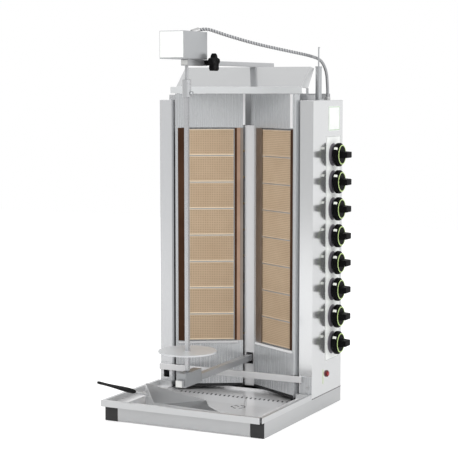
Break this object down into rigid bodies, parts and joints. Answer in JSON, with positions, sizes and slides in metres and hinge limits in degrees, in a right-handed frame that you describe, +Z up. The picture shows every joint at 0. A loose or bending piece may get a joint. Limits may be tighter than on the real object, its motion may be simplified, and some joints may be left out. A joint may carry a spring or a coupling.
{
  "type": "doner kebab grill",
  "caption": "Upright gas doner grill: vertical motor-driven spit before two angled ceramic burner fronts, knobs on the side, drip tray, fat drawer and scoop.",
  "frame": {"origin": "centre of the base's footprint at the level it stands on, on the underside of the base's middle strap", "axes": "+Z up, -Y is the front where the spit and tray are, +X the user's right, where the knobs are"},
  "size_m": [0.6478, 0.679, 1.2199],
  "materials": {
    "stainless": "fine brushed stainless sheet",
    "dark_slider": "grooved dark steel",
    "ceramic": "matt perforated ceramic",
    "black_plastic": "black moulded plastic",
    "white_plastic": "white moulded plastic",
    "white_plate": "white plate with a thin green border",
    "brass": "machined brass",
    "cast_alloy": "cast",
    "conduit": "wound steel conduit",
    "red_plastic": "dark red"
  },
  "bodies": {
    "frame": {"arm_end_caps": "white_plastic", "base_cross_members": "stainless", "blank_plate": "white_plate", "box_gland": "stainless", "centre_column": "stainless", "control_box": "stainless", "control_box_cover": "stainless", "cross_rail": "stainless", "deck_plate": "stainless", "foot_screws": "stainless", "gas_manifold": "brass", "gas_pipes": "brass", "gas_valves": "brass", "hood": "stainless", "hood_brackets": "stainless", "hose_post": "stainless", "knob_bezels": "black_plastic", "knob_plate": "white_plate", "left_burner_front": "stainless", "left_burners": "stainless", "left_foot": "stainless", "left_housing": "stainless", "left_tiles": "ceramic", "lower_arm": "stainless", "motor_hose": "conduit", "rail_end_caps": "black_plastic", "rear_cover": "stainless", "right_burner_front": "stainless", "right_burners": "stainless", "right_foot": "stainless", "right_tiles": "ceramic", "side_rails": "stainless", "switch_collar": "black_plastic", "upper_arm": "stainless"},
    "spit": {"drive_shaft": "stainless", "spit_coupling": "stainless", "coupling_screw": "stainless", "spit_bar": "stainless", "meat_disc": "stainless"},
    "upper_slide": {"upper_carriage": "stainless", "motor_base_plate": "stainless", "motor_casing": "stainless", "motor_front_plate": "white_plate", "gear_motor": "cast_alloy", "motor_gland": "stainless"},
    "lower_slide": {"lower_slider": "dark_slider"},
    "clamp_knob": {"star_knob": "black_plastic"},
    "tray": {"drip_tray": "stainless"},
    "drawer": {"fat_drawer": "stainless"},
    "scoop": {"scoop_pan": "stainless", "scoop_handle": "black_plastic"},
    "button": {"power_button": "red_plastic"},
    "tap_1": {"knob_1": "black_plastic"},
    "tap_2": {"knob_2": "black_plastic"},
    "tap_3": {"knob_3": "black_plastic"},
    "tap_4": {"knob_4": "black_plastic"},
    "tap_5": {"knob_5": "black_plastic"},
    "tap_6": {"knob_6": "black_plastic"},
    "tap_7": {"knob_7": "black_plastic"},
    "tap_8": {"knob_8": "black_plastic"}
  },
  "joints": [
    {"name": "upper_carriage_slide", "type": "slide", "parent": "frame", "child": "upper_slide", "axis": [0, 1, 0], "range_m": [0, 0.22], "deforming": ["motor_hose"]},
    {"name": "lower_slider_slide", "type": "slide", "parent": "frame", "child": "lower_slide", "axis": [0, 1, 0], "range_m": [0, 0.22]},
    {"name": "spit_turn", "type": "hinge", "parent": "upper_slide", "child": "spit", "pos_m": [0, -0.266, 1.09], "axis": [0, 0, 1], "continuous": true},
    {"name": "clamp_knob_turn", "type": "hinge", "parent": "upper_slide", "child": "clamp_knob", "pos_m": [0.05, -0.205, 1.112], "axis": [1, 0, 0], "range_deg": [0, 540]},
    {"name": "tray_slide", "type": "slide", "parent": "frame", "child": "tray", "axis": [0, -1, 0], "range_m": [0, 0.25]},
    {"name": "drawer_slide", "type": "slide", "parent": "tray", "child": "drawer", "axis": [0, -1, 0], "range_m": [0, 0.4]},
    {"name": "scoop_lift", "type": "slide", "parent": "tray", "child": "scoop", "axis": [0, 0, 1], "range_m": [0, 0.08]},
    {"name": "power_button_push", "type": "slide", "parent": "frame", "child": "button", "axis": [-1, 0, 0], "range_m": [0, 0.0025], "stiffness_N_per_m": 400},
    {"name": "knob_turn_1", "type": "hinge", "parent": "frame", "child": "tap_1", "pos_m": [0.29, 0.219, 0.209], "axis": [1, 0, 0], "range_deg": [0, 210]},
    {"name": "knob_turn_2", "type": "hinge", "parent": "frame", "child": "tap_2", "pos_m": [0.29, 0.219, 0.29665], "axis": [1, 0, 0], "range_deg": [0, 210]},
    {"name": "knob_turn_3", "type": "hinge", "parent": "frame", "child": "tap_3", "pos_m": [0.29, 0.219, 0.3843], "axis": [1, 0, 0], "range_deg": [0, 210]},
    {"name": "knob_turn_4", "type": "hinge", "parent": "frame", "child": "tap_4", "pos_m": [0.29, 0.219, 0.47195], "axis": [1, 0, 0], "range_deg": [0, 210]},
    {"name": "knob_turn_5", "type": "hinge", "parent": "frame", "child": "tap_5", "pos_m": [0.29, 0.219, 0.5596], "axis": [1, 0, 0], "range_deg": [0, 210]},
    {"name": "knob_turn_6", "type": "hinge", "parent": "frame", "child": "tap_6", "pos_m": [0.29, 0.219, 0.64725], "axis": [1, 0, 0], "range_deg": [0, 210]},
    {"name": "knob_turn_7", "type": "hinge", "parent": "frame", "child": "tap_7", "pos_m": [0.29, 0.219, 0.7349], "axis": [1, 0, 0], "range_deg": [0, 210]},
    {"name": "knob_turn_8", "type": "hinge", "parent": "frame", "child": "tap_8", "pos_m": [0.29, 0.219, 0.82255], "axis": [1, 0, 0], "range_deg": [0, 210]}
  ],
  "couplings": [
    {"joint": "lower_slider_slide", "follows": "upper_carriage_slide", "ratio": 1}
  ]
}
